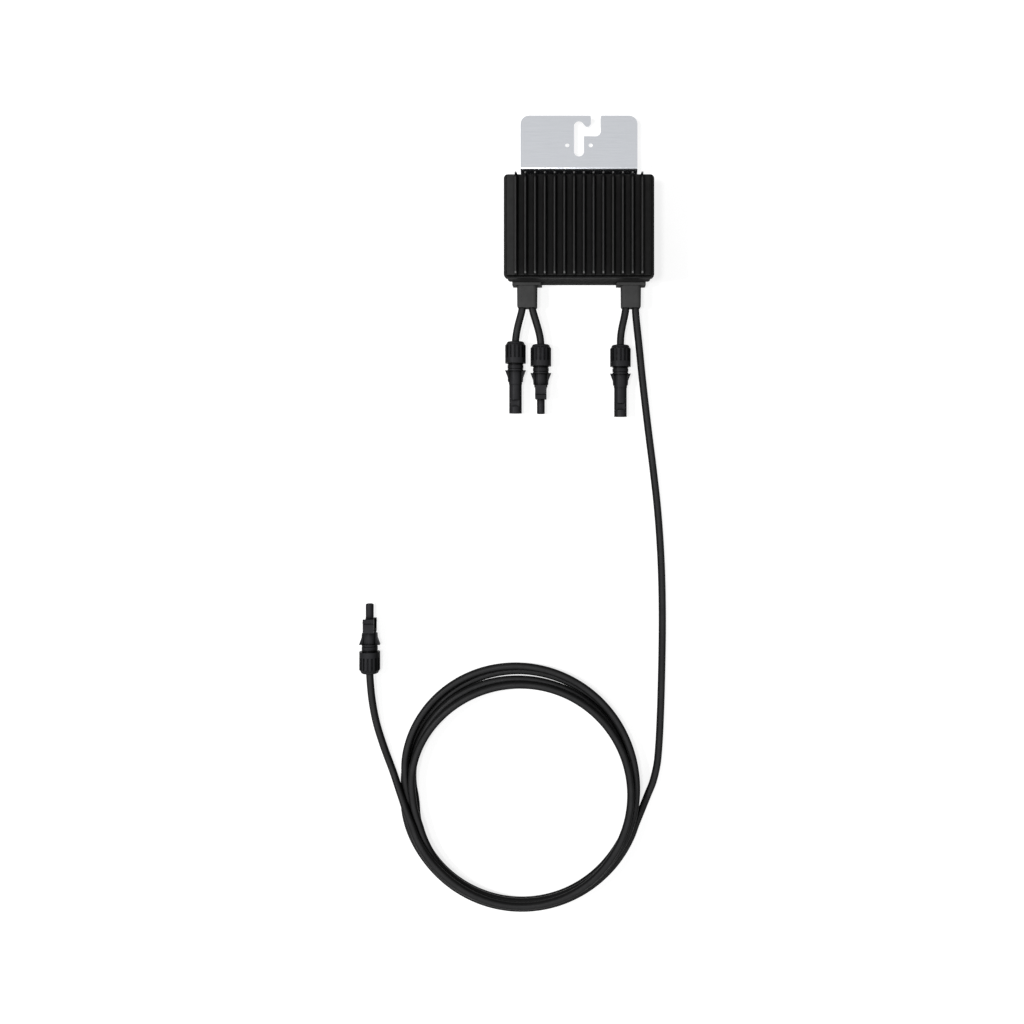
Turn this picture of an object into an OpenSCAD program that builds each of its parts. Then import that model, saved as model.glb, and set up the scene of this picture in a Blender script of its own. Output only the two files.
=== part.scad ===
// Power optimizer for a solar module, lying on its back with its fins up.
// A finned cover closes a rear housing over a circuit board. A folded sheet bracket with a hook slot
// is screwed to the back. Four leads leave two cable glands and end in plug-in connectors.
// Sizes are in millimetres. +Z points up through the fins, +Y to the hook slot.
// The origin is the middle of the body, on the plane that the bracket lies on.

/* [Cover] */
// Width of the cover's rim, the widest part of the body
rim_w = 129; // [126:1:160]
// Length of the cover's rim, along the fins
rim_l = 89; // [88:1:120]
// Height of the rim's side wall
rim_h = 6.5; // [5:0.5:10]
// Corner radius of the rim
rim_corner = 3.5; // [3:0.5:8]
// Ledge beside the fin block, on the left and right
ledge_w = 2.4; // [1.5:0.1:6]
// Ledge in front of the fin block, on the glands' side
ledge_front = 2.1; // [0.8:0.1:4]
// Ledge behind the fin block, on the tab's side
ledge_back = 1; // [0.8:0.1:3]
// Width of the slope along the fin block's sides
block_slope = 2; // [0.5:0.1:4]
// Height of the fin block above the rim
block_h = 2; // [1:0.5:6]
// Thickness of the cover's roof, under the fins
roof_t = 3; // [2:0.5:5]
// Radius on the cover's upper edges
edge_r = 0.8; // [0.3:0.1:1]

/* [Fins] */
// Number of fins
fin_count = 14; // [8:1:18]
// Height of the fins above the block
fin_h = 11; // [6:0.5:25]
// Thickness of a fin at its crest
fin_tip = 1.4; // [1:0.1:2]
// Thickness of a fin at its foot
fin_root = 2.4; // [2:0.1:3.4]
// Distance from the block's side to the middle of the outer fin
fin_margin = 8.4; // [4:0.2:14]
// Radius at the two ends of each crest
fin_end_r = 1.5; // [1:0.5:5]

/* [Rear housing] */
// Height of the rear housing
housing_h = 36; // [34:1:60]
// Height of its narrower lower part
base_h = 17; // [15:0.5:24]
// How far the rim stands out over the housing's sides
overhang_w = 1.8; // [0.5:0.1:3]
// How far the rim stands out over the housing's ends
overhang_l = 1; // [0.5:0.1:2]
// How far the lower part stands back at each side
base_step = 3; // [1:0.5:4]
// Wall thickness of the lower part
wall = 3; // [2:0.5:4]
// Floor thickness
floor_t = 3; // [2:0.5:5]
// Corner radius of the housing
housing_corner = 2.5; // [2:0.5:6]
// Thickness of the gasket under the rim
gasket_t = 1.5; // [0.8:0.1:3]
// How far the gasket stands back from the housing's outside
gasket_inset = 1; // [0.5:0.1:1.2]
// Depth of the grooves across the end walls
groove_d = 0.8; // [0.3:0.1:1.2]
// Height of the grooves across the end walls
groove_h = 1.2; // [0.6:0.1:2]

/* [Bracket] */
// Sheet thickness
sheet_t = 2; // [1.9:0.1:3]
// Width of the bracket
bracket_w = 103; // [90:1:120]
// Length of the bracket's base under the body
plate_l = 76.5; // [70:0.5:80]
// Distance from the housing's end to the top of the riser
riser_gap = 10.5; // [8:0.5:30]
// Angle at which the riser leans away from the body
riser_lean = 25; // [0:1:30]
// Height of the tab's upper face over the plane it lies on
tab_z = 20; // [12:1:40]
// Length of the tab beyond the top of the riser
tab_l = 49; // [44:0.5:70]
// Inner radius of the two bends
bend_r = 1.5; // [1:0.5:3]
// Corner radius of the tab
tab_corner = 7.5; // [3:0.5:12]

/* [Hook slot] */
// Width of the slot and of its entry
slot_w = 8.8; // [6:0.2:10]
// Distance from the tab's edge to the slot's inner end
slot_depth = 36; // [30:1:38]
// Metal left between the slot's outer end and the tab's edge
slot_top = 4.5; // [3:0.5:7]
// Distance between the slot's middle and the middle of its entry
entry_x = 14.8; // [13:0.2:20]
// Distance from the tab's edge to the far side of the cross passage
passage_depth = 18.2; // [16:0.2:22]
// Corner radius at the end of the entry
entry_corner = 4.5; // [2:0.5:5]
// Radius of the entry's mouth
mouth_r = 1.3; // [0.5:0.1:2]
// Diameter of the two small holes beside the slot
small_hole_d = 3.8; // [3:0.1:5]
// Distance between the two small holes
small_hole_pitch = 20.7; // [18:0.1:30]
// Distance from the tab's edge to the small holes
small_hole_depth = 26; // [24:0.5:30]

/* [Cable glands] */
// Distance from the lower part's side to the middle of each gland
gland_inset = 13.7; // [13.2:0.1:20]
// Height of each gland's middle above the housing's back
gland_rise = 9; // [8.5:0.5:10]
// Thickness of a gland beside its leads
gland_side = 1.35; // [1.2:0.05:3]
// Width that a gland loses to its end
gland_taper = 0.5; // [0:0.1:1]
// Height of a gland
gland_h = 13.6; // [12:0.2:15]
// How far a gland stands out of the housing
gland_l = 22; // [16:0.5:30]
// Width of a gland's collar
collar_w = 26; // [21:0.5:26]
// Height of a gland's collar
collar_h = 15.2; // [14.6:0.2:16]
// Thickness of a gland's collar
collar_t = 2.5; // [1.5:0.5:5]
// Distance between the two leads of a gland
lead_pitch = 8.4; // [8:0.1:9]

/* [Leads] */
// Outside diameter of every lead
cable_d = 6.6; // [5:0.1:7]
// Play around a lead in a bore
cable_gap = 0.15; // [0.1:0.05:0.3]
// Inside radius of the coiled stretch
coil_in = 90; // [84:1:94]
// Outside radius of the coiled stretch
coil_out = 114.5; // [112:0.5:116]
// Height of the coiled stretch
coil_h = 16.5; // [14:0.5:20]

/* [Connectors] */
// Diameter of the cap nuts
nut_d = 18.4; // [18:0.2:22]
// Length of the cap nuts
nut_l = 19.4; // [18:0.2:24]
// Flutes around a cap nut
flute_count = 16; // [10:1:20]
// Depth of the flutes
flute_d = 0.6; // [0.3:0.1:0.8]
// Diameter of the neck between nut and wings
neck_d = 14.2; // [13.6:0.1:15]
// Length of the neck in view
neck_l = 6.2; // [5:0.2:8]
// Width over the two wings
wing_w = 18.4; // [16:0.2:18.4]
// Thickness of the wings
wing_t = 5; // [3:0.5:7]
// Length of the wings
wing_l = 12.6; // [12:0.2:16]
// Diameter of the body between the wings
core_d = 11.8; // [11.6:0.1:13]
// Length of a plug, with its nut
plug_l = 64; // [62:0.5:72]
// Diameter of a plug's sleeve
sleeve_d = 11.2; // [10.8:0.1:11.6]
// Diameter of the sleeve's hollow
hollow_d = 7.4; // [7.2:0.1:7.6]
// How far a plug's pin stays behind the sleeve's mouth
pin_recess = 6; // [5:0.5:8]
// Diameter of a plug's pin
pin_d = 4; // [3.5:0.1:4]
// Length of a socket, with its nut
socket_l = 62; // [60:0.5:70]
// Diameter of a socket's nose
nose_d = 7; // [6.8:0.1:7]
// Width of the latch arms
latch_w = 9.7; // [7:0.1:10]
// Length of the latch arms beyond the body
latch_l = 10.6; // [8:0.2:14]
// Outside diameter of the contacts
contact_d = 5.2; // [4.9:0.1:5.3]

/* [Electronics] */
// Free height under the circuit board
post_h = 12; // [11.5:0.5:14]
// Thickness of the circuit board
board_t = 1.6; // [1:0.2:2.4]
// Distance between the board's sides and the housing's walls
board_side = 2.7; // [2:0.1:3.2]
// Distance between the board's ends and the housing's walls
board_end = 7; // [6.8:0.1:7.4]
// Height of the power transistors
transistor_h = 4.5; // [2:0.5:6]
// Thickness of the thermal pad
pad_t = 1.5; // [0.5:0.1:3]
// Height of the inductors
inductor_h = 20; // [14:0.5:22]
// Height of the film capacitors
capacitor_h = 17; // [10:0.5:22]

/* [Hidden] */
$fn = 64;
eps = 0.5;
play = 0.1;

// Heights, from the plane that the bracket lies on
z_back = sheet_t;
z_floor = z_back + floor_t;
z_base = z_back + base_h;
z_split = z_back + housing_h;
z_rim = z_split + gasket_t;
z_ledge = z_rim + rim_h;
z_fins = z_ledge + block_h;
z_roof = z_fins - roof_t;

// Outlines of the body
block_w = rim_w - 2 * ledge_w;
block_l = rim_l - ledge_front - ledge_back;
block_y = (ledge_front - ledge_back) / 2;
slope_foot = 0.4;
housing_w = rim_w - 2 * overhang_w;
housing_l = rim_l - 2 * overhang_l;
base_w = housing_w - 2 * base_step;
cavity_w = base_w - 2 * wall;
cavity_l = housing_l - 2 * wall;
cavity_corner = 2;
fin_pitch = (block_w - 2 * fin_margin) / (fin_count - 1);
lip_rise = 11.5;
lip_z = z_back + lip_rise;

// Cable glands. The leads leave them at the exits and end inside in terminals
gland_x = base_w / 2 - gland_inset;
gland_z = z_back + gland_rise;
gland_corner = 4;
gland_end_r = 1.5;
gland_neck_side = 1.5;
gland_neck_h = 12;
gland_neck_corner = 3;
gland_inside = 1;
flare_l = 3;
flare_r = 0.4;
y_wall = -housing_l / 2;
y_exit = y_wall - gland_l;
cable_r = cable_d / 2;
bore_r = cable_r + cable_gap;
gland_w = lead_pitch + 2 * (bore_r + gland_side);
gland_neck_w = lead_pitch + 2 * (bore_r + gland_neck_side);
exit_a = [-gland_x - lead_pitch / 2, y_exit, gland_z];
exit_b = [-gland_x + lead_pitch / 2, y_exit, gland_z];
exit_c = [gland_x - lead_pitch / 2, y_exit, gland_z];
exit_d = [gland_x + lead_pitch / 2, y_exit, gland_z];
terminal_size = [6, 10];
terminal_gap = 10.5;
terminal_h = 9;
y_terminal = terminal_gap - cavity_l / 2;

// Screws from the back into the cover, in columns at the cavity's edge
column_r = 4.5;
column_inset = 2;
column_gap = 6.35;
column_x = gland_x - gland_neck_w / 2 - column_r - column_gap;
column_at = [
    [cavity_w / 2 - column_inset, cavity_l / 2 - column_inset],
    [column_inset - cavity_w / 2, cavity_l / 2 - column_inset],
    [column_x, column_inset - cavity_l / 2],
    [-column_x, column_inset - cavity_l / 2]
];
cover_screw_r = 1.5;
cover_head_r = 2.75;
cover_head_h = 3;
cover_sink = 8;
cover_thread = 5;

// Countersunk screws through the bracket's base
bracket_screw_x = 24;
bracket_screw_y = 20;
bracket_screw_r = 2;
bracket_head_r = 3.7;
bracket_screw_l = 9;
boss_r = 4;
boss_h = 7;

// Circuit board, its posts and screws
z_board = z_floor + post_h;
z_parts = z_board + board_t;
board_w = cavity_w - 2 * board_side;
board_l = cavity_l - 2 * board_end;
post_r = 3.5;
post_inset = 4;
post_gap = 5.3;
post_x = gland_x - (lead_pitch + terminal_size[0]) / 2 - post_r - post_gap;
post_at = [
    [board_w / 2 - post_inset, board_l / 2 - post_inset],
    [post_inset - board_w / 2, board_l / 2 - post_inset],
    [post_x, post_inset - board_l / 2],
    [-post_x, post_inset - board_l / 2]
];
board_screw_r = 1.25;
board_head_r = 2.5;
board_head_h = 1.8;
board_screw_l = 9;

// Parts on the board
pedestal_size = [14, 52];
transistor_size = [10, 9];
transistor_y = [-18, -6, 6, 18];
inductor_size = [30, 28];
inductor_gap = 3;
inductor_at = [(pedestal_size[0] + inductor_size[0]) / 2 + inductor_gap, 12];
inductor_plate = 4;
inductor_post_r = 6;
inductor_coil_r = 12.5;
capacitor_size = [26, 9];
capacitor_corner = 1;
capacitor_side = 4;
capacitor_gap = 2.5;
capacitor_space = 2;
capacitor_x = (pedestal_size[0] + capacitor_size[0]) / 2 + capacitor_side;
capacitor_y = inductor_at[1] - (inductor_size[1] + capacitor_size[1]) / 2 - capacitor_gap;
capacitor_pitch = capacitor_size[1] + capacitor_space;
capacitor_at = [[capacitor_x, capacitor_y], [capacitor_x, capacitor_y - capacitor_pitch]];
chip_size = [7, 12, 1.6];
chip_gap = 1.5;
chip_x = inductor_at[0] + (inductor_size[0] + chip_size[0]) / 2 + chip_gap;
chip_at = [[chip_x, 8], [chip_x, -8]];

// Bracket
y_riser = housing_l / 2 + riser_gap;
y_tab = y_riser + tab_l;
y_plate = housing_l / 2 - plate_l;
plate_corner = 4;
bend_out = bend_r + sheet_t;
bend_steps = 8;
bend_rise = tab_z - 2 * bend_out;
bend_run = (bend_r + bend_out + bend_rise * sin(riser_lean)) / cos(riser_lean);
bend_high = [y_riser + bend_out, tab_z - bend_out];
bend_low = [bend_high[0] - bend_run, bend_out];

// Connectors, measured along their axis from the nut's cable end
nut_back = 4;
nut_round = 2;
nut_end_drop = 1.2;
nut_end_l = 3.4;
flute_w = 1.7;
flute_l = 14.5;
neck_gap = 0.5;
neck_in = nut_back + neck_gap;
seal_r = 5.2;
seal_l = 12;
cable_stop = 3;
u_cable = neck_in + seal_l + cable_stop;
u_wing = nut_l + neck_l;
u_core = u_wing + wing_l;
hollow_floor = 2;
u_hollow = u_core + hollow_floor;
ring_d = 0.5;
ring_l = 0.8;
wing_mid = 6.5;
wing_mid_x = 6.8;
wing_low = 10.2;
wing_low_x = 6.6;
window_l = 6.2;
window_end = 6;
window_flat = 4.1;
contact_r = contact_d / 2;
pin_tip = 1;
nose_root_r = 3.9;
nose_edge = 0.6;
nose_lip = 1.3;
nose_hole_r = 2.4;
socket_bore_r = 2.02;
socket_bore_l = 18;
latch_in = 5.7;
latch_t = 1.7;
latch_hook = 0.9;
latch_hook_l = 4.2;
latch_hook_rise = 0.8;
latch_root = 1.5;
seal_ring_r = 0.7;

// Routes of the leads: steps right and forward from the exit, and the share of the exit's height
route_a = [
    [0, 3, 1], [0, -1, 1], [-0.7, -6, 0.9], [-2.4, -12, 0.7],
    [-4.3, -18, 0.4], [-5.7, -24, 0.1], [-6.4, -29.5, 0]
];
route_b = [
    [0, 3, 1], [0, -1, 1], [0.8, -7, 0.9], [2.8, -13, 0.7],
    [5.1, -19, 0.4], [6.9, -25, 0.1], [7.8, -32, 0]
];
route_c = [
    [0, 3, 1], [0, -1, 1], [-0.6, -7, 0.9], [-1.9, -13, 0.7],
    [-3.4, -19, 0.4], [-4.5, -25, 0.1], [-4.9, -32.5, 0]
];
route_d = [
    [0, 3, 1], [0, -2, 1], [1.2, -14, 0.85], [3.5, -34, 0.5], [6.5, -62, 0.15], [11.5, -105, 0],
    [16.5, -145, 0], [20.5, -182, 0], [23.5, -228, 0], [24.5, -275, 0], [24, -320, 0],
    [22.7, -365, 0], [21.3, -392, 0], [19.7, -408, 0]
];
coil_step = [-102.5, -430];
coil_corner = 6;
meet_gap = 0.02;
entry_r = 107.5;
entry_a = -22;
leave_r = 99;
leave_a = 203;
// Steps from the coil's middle to the long lead's connector, and the share of the coil's height
route_e = [[-123, 40, 0.7], [-129, 60, 0.4], [-132.5, 82, 0.15], [-134.2, 105, 0]];

coil_at = [exit_d[0] + coil_step[0], exit_d[1] + coil_step[1], 0];
stub_gap = 1;
stub_r = coil_out + cable_r + stub_gap;
entry_l = sqrt(stub_r * stub_r - entry_r * entry_r);
leave_l = sqrt(stub_r * stub_r - leave_r * leave_r);
entry_dir = [sin(entry_a), -cos(entry_a), 0];
leave_dir = [sin(leave_a), -cos(leave_a), 0];
entry_p = coil_at + [entry_r * cos(entry_a), entry_r * sin(entry_a), cable_r];
leave_p = coil_at + [leave_r * cos(leave_a), leave_r * sin(leave_a), coil_h - cable_r];
entry_s = entry_p - entry_l * entry_dir;
leave_s = leave_p + leave_l * leave_dir;
away = [0, -1, 0];
back = [0, 1, 0];
nut_z = nut_d / 2;

function along(from, steps, low) = [
    for (s = steps) [from[0] + s[0], from[1] + s[1], low + s[2] * (from[2] - low)]
];
function tip_of(list) = list[len(list) - 1];
function arc(centre, r, from, to) = [
    for (i = [0 : bend_steps]) let (a = from + i * (to - from) / bend_steps)
        centre + r * [cos(a), sin(a)]
];
function inner_end(from) = [from[0], y_terminal, from[2]];

points_a = concat([inner_end(exit_a)], along(exit_a, route_a, nut_z));
points_b = concat([inner_end(exit_b)], along(exit_b, route_b, nut_z));
points_c = concat([inner_end(exit_c)], along(exit_c, route_c, nut_z));
points_d = concat([inner_end(exit_d)], along(exit_d, route_d, cable_r), [entry_s - meet_gap * entry_dir]);
points_e = concat(
    [leave_s + meet_gap * leave_dir],
    along([coil_at[0], coil_at[1], leave_s[2]], route_e, nut_z)
);
plug_in_at = tip_of(points_a);
socket_in_at = tip_of(points_b);
plug_out_at = tip_of(points_c);
socket_out_at = tip_of(points_e);

cast_black = [0.09, 0.09, 0.10];
plastic_black = [0.06, 0.06, 0.07];
plastic_grey = [0.22, 0.22, 0.23];
rubber_black = [0.04, 0.04, 0.04];
bare_aluminium = [0.80, 0.81, 0.82];
steel = [0.70, 0.70, 0.72];
tinned = [0.78, 0.78, 0.76];
copper = [0.78, 0.45, 0.25];
board_green = [0.08, 0.32, 0.18];
pad_grey = [0.55, 0.58, 0.62];
ferrite = [0.18, 0.18, 0.19];
film_case = [0.75, 0.70, 0.50];

// Rectangle about the origin with round corners
module round_rect(w, l, r) {
    square([w - 2 * r, l], center = true);
    square([w, l - 2 * r], center = true);
    for (sx = [-1, 1], sy = [-1, 1])
        translate([sx * (w / 2 - r), sy * (l / 2 - r)]) circle(r);
}

// Upright section with round upper corners, standing on the origin
module crown(w, h, r) {
    translate([-w / 2, 0]) square([w, h - r]);
    translate([r - w / 2, 0]) square([w - 2 * r, h]);
    for (s = [-1, 1]) translate([s * (w / 2 - r), h - r]) circle(r);
}

// Turned corner of a soft box
module soft_corner(corner, h, edge) {
    rotate_extrude() {
        square([corner, h - edge]);
        square([corner - edge, h]);
        translate([corner - edge, h - edge]) circle(edge);
    }
}

// Box with round upright corners and round upper edges
module soft_box(w, l, h, corner, edge) {
    rotate([90, 0, 0]) linear_extrude(l - 2 * corner, center = true) crown(w, h, edge);
    rotate([90, 0, 90]) linear_extrude(w - 2 * corner, center = true) crown(l, h, edge);
    for (sx = [-1, 1], sy = [-1, 1])
        translate([sx * (w / 2 - corner), sy * (l / 2 - corner), 0]) soft_corner(corner, h, edge);
}

module fin_section() {
    half_root = fin_root / 2;
    half_tip = fin_tip / 2;
    polygon([
        [-half_root, -eps], [half_root, -eps],
        [half_tip, fin_h - half_tip], [-half_tip, fin_h - half_tip]
    ]);
    translate([0, fin_h - half_tip]) circle(half_tip);
}

module fins() {
    translate([0, block_y, 0]) intersection() {
        rotate([90, 0, 0]) linear_extrude(block_l, center = true)
            for (i = [0 : fin_count - 1])
                translate([fin_margin - block_w / 2 + i * fin_pitch, z_fins]) fin_section();
        rotate([90, 0, 90]) linear_extrude(block_w, center = true)
            translate([0, z_fins - 2 * eps]) crown(block_l, fin_h + 2 * eps, fin_end_r);
    }
}

// Block under the fins, with sloped sides and round upper edges at its ends
module fin_block() {
    half = block_w / 2;
    height = rim_h + block_h;
    translate([0, block_y, z_rim]) intersection() {
        rotate([90, 0, 0]) linear_extrude(block_l, center = true) polygon([
            [-half, 0], [half, 0], [half, rim_h + slope_foot], [half - block_slope, height],
            [block_slope - half, height], [-half, rim_h + slope_foot]
        ]);
        rotate([90, 0, 90]) linear_extrude(block_w, center = true) crown(block_l, height, edge_r);
    }
}

module heat_sink_cover() {
    pedestal_z = z_parts + transistor_h + pad_t;
    color(cast_black) {
        difference() {
            union() {
                translate([0, 0, z_rim]) soft_box(rim_w, rim_l, rim_h, rim_corner, edge_r);
                fin_block();
                fins();
            }
            translate([0, 0, z_rim - eps]) linear_extrude(z_roof - z_rim + eps)
                round_rect(cavity_w, cavity_l, cavity_corner);
        }
        translate([-pedestal_size[0] / 2, -pedestal_size[1] / 2, pedestal_z])
            cube([pedestal_size[0], pedestal_size[1], z_roof - pedestal_z + eps]);
        intersection() {
            difference() {
                for (p = column_at)
                    translate([p[0], p[1], z_split]) cylinder(h = z_roof - z_split + eps, r = column_r);
                for (p = column_at)
                    translate([p[0], p[1], z_split - eps])
                        cylinder(h = cover_thread + eps + play, r = cover_screw_r + play);
            }
            translate([0, 0, z_split]) linear_extrude(z_roof - z_split + eps)
                round_rect(cavity_w, cavity_l, cavity_corner);
        }
    }
}

module cover_gasket() {
    inset = 2 * gasket_inset;
    color(rubber_black) translate([0, 0, z_split]) linear_extrude(gasket_t)
        difference() {
            round_rect(housing_w - inset, housing_l - inset, housing_corner - gasket_inset);
            round_rect(cavity_w + 2 * play, cavity_l + 2 * play, cavity_corner);
        }
}

module gland_opening() {
    translate([0, y_wall - eps, gland_z]) rotate([-90, 0, 0]) linear_extrude(wall + 2 * eps)
        round_rect(gland_neck_w + 2 * play, gland_neck_h + 2 * play, gland_neck_corner);
}

module rear_housing() {
    color(plastic_black) {
        difference() {
            union() {
                translate([0, 0, z_back]) linear_extrude(base_h + eps)
                    round_rect(base_w, housing_l, housing_corner);
                translate([0, 0, z_base]) linear_extrude(housing_h - base_h)
                    round_rect(housing_w, housing_l, housing_corner);
            }
            translate([0, 0, z_floor]) linear_extrude(housing_h)
                round_rect(cavity_w, cavity_l, cavity_corner);
            for (s = [-1, 1]) {
                translate([s * gland_x, 0, 0]) gland_opening();
                translate([0, s * (housing_l / 2 + eps - groove_d / 2), z_base + groove_h / 2])
                    cube([housing_w, groove_d + 2 * eps, groove_h], center = true);
            }
            translate([collar_w / 2 - gland_x, y_wall - eps, lip_z])
                cube([2 * gland_x - collar_w, groove_d + eps, groove_h]);
            for (p = column_at)
                translate([p[0], p[1], z_back - eps])
                    cylinder(h = cover_sink + eps, r = cover_head_r + 2 * play);
            for (sx = [-1, 1], sy = [-1, 1])
                translate([sx * bracket_screw_x, sy * bracket_screw_y, z_back - eps])
                    cylinder(h = floor_t + 2 * eps, r = bracket_screw_r + play);
        }
        difference() {
            intersection() {
                for (p = column_at)
                    translate([p[0], p[1], z_back]) cylinder(h = housing_h, r = column_r);
                translate([0, 0, z_back]) linear_extrude(housing_h)
                    round_rect(base_w - wall, housing_l - wall, housing_corner);
            }
            for (p = column_at) {
                translate([p[0], p[1], z_back - eps])
                    cylinder(h = cover_sink + eps, r = cover_head_r + 2 * play);
                translate([p[0], p[1], z_back]) cylinder(h = housing_h + eps, r = cover_screw_r + play);
            }
        }
        difference() {
            for (sx = [-1, 1], sy = [-1, 1])
                translate([sx * bracket_screw_x, sy * bracket_screw_y, z_floor - eps])
                    cylinder(h = boss_h + eps, r = boss_r);
            for (sx = [-1, 1], sy = [-1, 1])
                translate([sx * bracket_screw_x, sy * bracket_screw_y, z_back - eps])
                    cylinder(h = bracket_screw_l, r = bracket_screw_r + play);
        }
        difference() {
            for (p = post_at)
                translate([p[0], p[1], z_floor - eps]) cylinder(h = post_h + eps, r = post_r);
            for (p = post_at)
                translate([p[0], p[1], z_board - board_screw_l])
                    cylinder(h = board_screw_l + eps, r = board_screw_r + play);
        }
    }
}

module cover_screws() {
    z_head = z_back + cover_sink;
    color(steel)
        for (p = column_at)
            translate([p[0], p[1], 0]) {
                difference() {
                    translate([0, 0, z_head - cover_head_h]) cylinder(h = cover_head_h, r = cover_head_r);
                    translate([0, 0, z_head - cover_head_h - eps])
                        cylinder(h = cover_head_h / 2 + eps, r = cover_head_r / 2, $fn = 6);
                }
                translate([0, 0, z_head - eps])
                    cylinder(h = z_split + cover_thread - z_head + eps, r = cover_screw_r);
            }
}

// Outline of the folded sheet, seen from the side
module bracket_section() {
    lean = 180 - riser_lean;
    polygon(concat(
        [[y_plate, 0]],
        arc(bend_low, bend_out, -90, -riser_lean),
        arc(bend_high, bend_r, lean, 90),
        [[y_tab, tab_z - sheet_t], [y_tab, tab_z]],
        arc(bend_high, bend_out, 90, lean),
        arc(bend_low, bend_r, -riser_lean, -90),
        [[y_plate, sheet_t]]
    ));
}

// Hook slot, with the tab's edge on the X axis and the tab below it
module slot_cut() {
    half = slot_w / 2;
    lip_w = entry_x - slot_w;
    lip_r = lip_w / 2;
    lip_end = passage_depth - slot_w;
    translate([-half, half - slot_depth]) square([slot_w, slot_depth - slot_top - slot_w]);
    translate([0, half - slot_depth]) circle(half);
    translate([0, -slot_top - half]) circle(half);
    translate([0, -passage_depth]) square([entry_x + half - entry_corner, slot_w]);
    translate([0, entry_corner - passage_depth]) square([entry_x + half, slot_w - entry_corner]);
    translate([entry_x + half - entry_corner, entry_corner - passage_depth]) circle(entry_corner);
    translate([entry_x - half, entry_corner - passage_depth])
        square([slot_w, passage_depth - entry_corner + eps]);
    difference() {
        translate([half, -lip_end - eps]) square([lip_w, lip_r + eps]);
        translate([half + lip_r, lip_r - lip_end]) circle(lip_r);
    }
    difference() {
        translate([entry_x - half - mouth_r, -mouth_r]) square([slot_w + 2 * mouth_r, mouth_r + eps]);
        for (s = [-1, 1]) translate([entry_x + s * (half + mouth_r), -mouth_r]) circle(mouth_r);
    }
}

module tab_outline() {
    translate([-bracket_w / 2, y_plate + plate_corner])
        square([bracket_w, y_tab - y_plate - plate_corner - tab_corner]);
    translate([tab_corner - bracket_w / 2, y_tab - 2 * tab_corner])
        square([bracket_w - 2 * tab_corner, 2 * tab_corner]);
    translate([plate_corner - bracket_w / 2, y_plate])
        square([bracket_w - 2 * plate_corner, 2 * plate_corner]);
    for (s = [-1, 1]) {
        translate([s * (bracket_w / 2 - tab_corner), y_tab - tab_corner]) circle(tab_corner);
        translate([s * (bracket_w / 2 - plate_corner), y_plate + plate_corner]) circle(plate_corner);
    }
}

module mounting_bracket() {
    sink_h = bracket_head_r - bracket_screw_r;
    color(bare_aluminium) difference() {
        intersection() {
            rotate([90, 0, 90]) linear_extrude(bracket_w, center = true) bracket_section();
            translate([0, 0, -eps]) linear_extrude(tab_z + 2 * eps) tab_outline();
        }
        translate([0, y_tab, tab_z - sheet_t - eps]) linear_extrude(sheet_t + 2 * eps) slot_cut();
        for (s = [-1, 1])
            translate([s * small_hole_pitch / 2, y_tab - small_hole_depth, tab_z - sheet_t - eps])
                cylinder(h = sheet_t + 2 * eps, r = small_hole_d / 2);
        for (sx = [-1, 1], sy = [-1, 1])
            translate([sx * bracket_screw_x, sy * bracket_screw_y, 0]) {
                translate([0, 0, -eps]) cylinder(h = sheet_t + 2 * eps, r = bracket_screw_r + play);
                cylinder(h = sink_h, r1 = bracket_head_r + play, r2 = bracket_screw_r + play);
            }
    }
}

module bracket_screws() {
    sink_h = bracket_head_r - bracket_screw_r;
    color(steel)
        for (sx = [-1, 1], sy = [-1, 1])
            translate([sx * bracket_screw_x, sy * bracket_screw_y, 0])
                difference() {
                    union() {
                        cylinder(h = sink_h, r1 = bracket_head_r, r2 = bracket_screw_r);
                        cylinder(h = bracket_screw_l, r = bracket_screw_r);
                    }
                    translate([0, 0, -eps]) cylinder(h = sink_h + eps, r = bracket_screw_r / 2, $fn = 6);
                }
}

// Plan of a gland beyond its collar, narrower and rounded at its end
module gland_plan() {
    half = gland_w / 2;
    end_half = half - gland_taper / 2;
    polygon([
        [-half, 0], [half, 0],
        [end_half, gland_end_r - gland_l], [-end_half, gland_end_r - gland_l]
    ]);
    translate([gland_end_r - end_half, -gland_l]) square([2 * (end_half - gland_end_r), 2 * gland_end_r]);
    for (s = [-1, 1]) translate([s * (end_half - gland_end_r), gland_end_r - gland_l]) circle(gland_end_r);
}

module gland(x) {
    color(plastic_grey) difference() {
        union() {
            translate([x, y_wall, gland_z]) rotate([90, 0, 0]) linear_extrude(collar_t)
                round_rect(collar_w, collar_h, gland_end_r);
            intersection() {
                translate([x, y_wall, gland_z]) rotate([90, 0, 0]) linear_extrude(gland_l)
                    round_rect(gland_w, gland_h, gland_corner);
                translate([x, y_wall, gland_z - gland_h]) linear_extrude(2 * gland_h) gland_plan();
            }
            translate([x, y_wall - eps, gland_z]) rotate([-90, 0, 0])
                linear_extrude(wall + gland_inside + eps)
                    round_rect(gland_neck_w, gland_neck_h, gland_neck_corner);
        }
        for (s = [-1, 1])
            translate([x + s * lead_pitch / 2, y_exit, gland_z]) rotate([-90, 0, 0]) {
                translate([0, 0, -eps]) cylinder(h = gland_l + wall + gland_inside + 2 * eps, r = bore_r);
                cylinder(h = flare_l, r1 = bore_r + flare_r, r2 = bore_r);
            }
    }
}

module input_gland() gland(-gland_x);
module output_gland() gland(gland_x);

module circuit_board() {
    color(board_green) difference() {
        translate([-board_w / 2, -board_l / 2, z_board]) cube([board_w, board_l, board_t]);
        for (p = post_at)
            translate([p[0], p[1], z_board - eps])
                cylinder(h = board_t + 2 * eps, r = board_screw_r + 2 * play);
    }
}

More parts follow.
